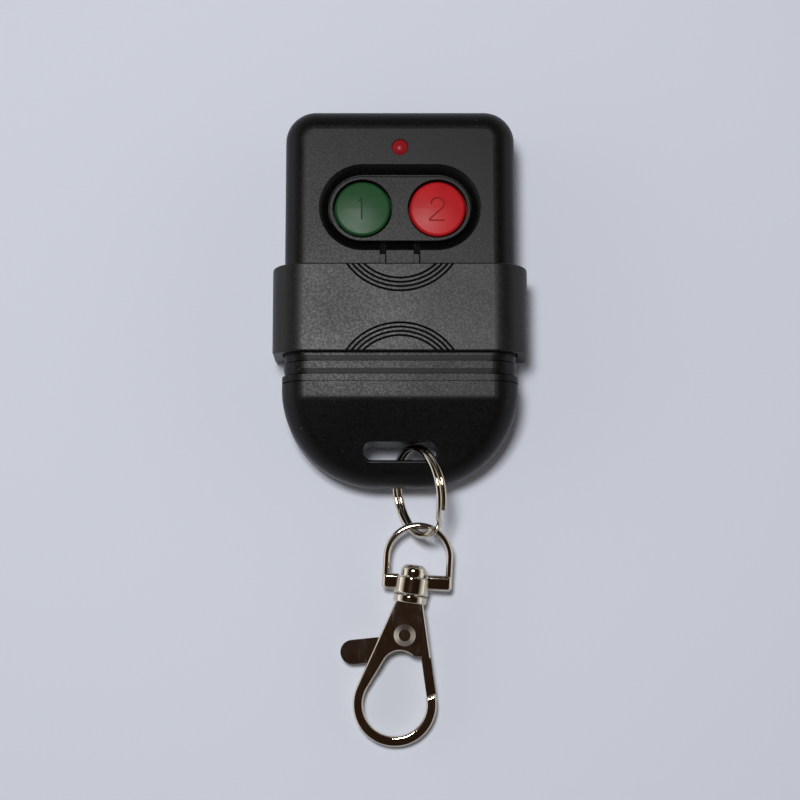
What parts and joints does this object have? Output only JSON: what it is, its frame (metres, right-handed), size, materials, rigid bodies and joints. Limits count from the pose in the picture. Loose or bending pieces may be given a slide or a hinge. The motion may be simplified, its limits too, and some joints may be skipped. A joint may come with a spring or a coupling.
{
  "type": "garage door remote",
  "caption": "Hand-held garage door transmitter with push buttons under a sliding cover, a signal lamp and a split ring with a swivel clasp for hanging it up.",
  "frame": {"origin": "on the flat back of the case, half way along and across it, so the remote lies on Z = 0", "axes": "+Y along the case from its key slot to its lamp end, +X to the red button's side, +Z out of the button face"},
  "size_m": [0.0412, 0.1025, 0.0149],
  "materials": {
    "case_black": "fine leather-grain black ABS, satin",
    "cover_black": "fine grained black ABS, slightly worn",
    "green_button": "dark green, satin gloss",
    "red_button": "bright red, satin gloss",
    "lamp_red": "red tinted lens",
    "nickel": "nickel plate, polished with fine scratches",
    "steel": "zinc-plated steel",
    "spring_steel": "bright spring wire",
    "board": "tan paper laminate",
    "copper": "tinned copper track",
    "chip_black": "moulded epoxy",
    "switch_grey": "moulded nylon",
    "code_blue": "blue moulded body",
    "lever_white": "white nylon",
    "trimmer_orange": "ceramic trimmer",
    "resistor_black": "thick film on ceramic",
    "capacitor_tan": "bare ceramic",
    "cell": "steel can in a printed sleeve, unmarked"
  },
  "bodies": {
    "case": {"front_shell": "case_black", "rear_shell": "case_black", "case_screws": "steel", "lamp_lens": "lamp_red", "lamp_legs": "steel", "circuit_board": "board", "antenna_loop": "copper", "switch_bases": "switch_grey", "switch_plates": "steel", "switch_pins": "steel", "code_switch": "code_blue", "code_switch_pins": "steel", "encoder_chip": "chip_black", "encoder_pins": "steel", "resonator_can": "steel", "resonator_legs": "steel", "trimmer": "trimmer_orange", "transistor": "chip_black", "resistors": "resistor_black", "capacitors": "capacitor_tan", "battery_cell": "cell", "battery_contact_plus": "spring_steel", "battery_contact_minus": "spring_steel", "battery_spring": "spring_steel"},
    "cover": {"slide_cover": "cover_black"},
    "green_key": {"green_button": "green_button", "switch_plunger_green": "switch_grey"},
    "red_key": {"red_button": "red_button", "switch_plunger_red": "switch_grey"},
    "code_lever_body_1": {"code_lever_1": "lever_white"},
    "code_lever_body_2": {"code_lever_2": "lever_white"},
    "code_lever_body_3": {"code_lever_3": "lever_white"},
    "code_lever_body_4": {"code_lever_4": "lever_white"},
    "code_lever_body_5": {"code_lever_5": "lever_white"},
    "code_lever_body_6": {"code_lever_6": "lever_white"},
    "code_lever_body_7": {"code_lever_7": "lever_white"},
    "code_lever_body_8": {"code_lever_8": "lever_white"},
    "ring": {"split_ring": "nickel"},
    "bow": {"swivel_bow": "nickel"},
    "clasp": {"clasp_body": "nickel", "swivel_post": "nickel", "clasp_rivet": "nickel", "lever_spring": "spring_steel"},
    "lever": {"clasp_lever": "nickel"}
  },
  "joints": [
    {"name": "cover_slide", "type": "slide", "parent": "case", "child": "cover", "axis": [0, 1, 0], "range_m": [0, 0.0166]},
    {"name": "green_button_press", "type": "slide", "parent": "case", "child": "green_key", "axis": [0, 0, -1], "range_m": [0, 0.00025], "stiffness_N_per_m": 1000, "springref_m": -0.001},
    {"name": "red_button_press", "type": "slide", "parent": "case", "child": "red_key", "axis": [0, 0, -1], "range_m": [0, 0.00025], "stiffness_N_per_m": 1000, "springref_m": -0.001},
    {"name": "code_lever_1_slide", "type": "slide", "parent": "case", "child": "code_lever_body_1", "axis": [0, 1, 0], "range_m": [0, 0.0017]},
    {"name": "code_lever_2_slide", "type": "slide", "parent": "case", "child": "code_lever_body_2", "axis": [0, 1, 0], "range_m": [0, 0.0017]},
    {"name": "code_lever_3_slide", "type": "slide", "parent": "case", "child": "code_lever_body_3", "axis": [0, 1, 0], "range_m": [0, 0.0017]},
    {"name": "code_lever_4_slide", "type": "slide", "parent": "case", "child": "code_lever_body_4", "axis": [0, 1, 0], "range_m": [0, 0.0017]},
    {"name": "code_lever_5_slide", "type": "slide", "parent": "case", "child": "code_lever_body_5", "axis": [0, 1, 0], "range_m": [0, 0.0017]},
    {"name": "code_lever_6_slide", "type": "slide", "parent": "case", "child": "code_lever_body_6", "axis": [0, 1, 0], "range_m": [0, 0.0017]},
    {"name": "code_lever_7_slide", "type": "slide", "parent": "case", "child": "code_lever_body_7", "axis": [0, 1, 0], "range_m": [0, 0.0017]},
    {"name": "code_lever_8_slide", "type": "slide", "parent": "case", "child": "code_lever_body_8", "axis": [0, 1, 0], "range_m": [0, 0.0017]},
    {"name": "ring_swing", "type": "hinge", "parent": "case", "child": "ring", "pos_m": [0.00305, -0.0286, 0.0065], "axis": [1, 0, 0], "range_deg": [-3, 12]},
    {"name": "bow_swing", "type": "hinge", "parent": "ring", "child": "bow", "pos_m": [0.00402, -0.03742, 0.006], "axis": [0.9986, -0.0523, 0], "range_deg": [-2, 20]},
    {"name": "clasp_swivel", "type": "hinge", "parent": "bow", "child": "clasp", "pos_m": [0.00192, -0.04625, 0.003], "axis": [0.144, 0.9872, 0.068], "continuous": true},
    {"name": "lever_pivot", "type": "hinge", "parent": "clasp", "child": "lever", "pos_m": [0.00077, -0.05414, 0.00246], "axis": [0.0098, 0.0673, -0.9977], "range_deg": [0, 25], "stiffness_Nm_per_rad": 0.01, "springref_deg": -28.65}
  ]
}
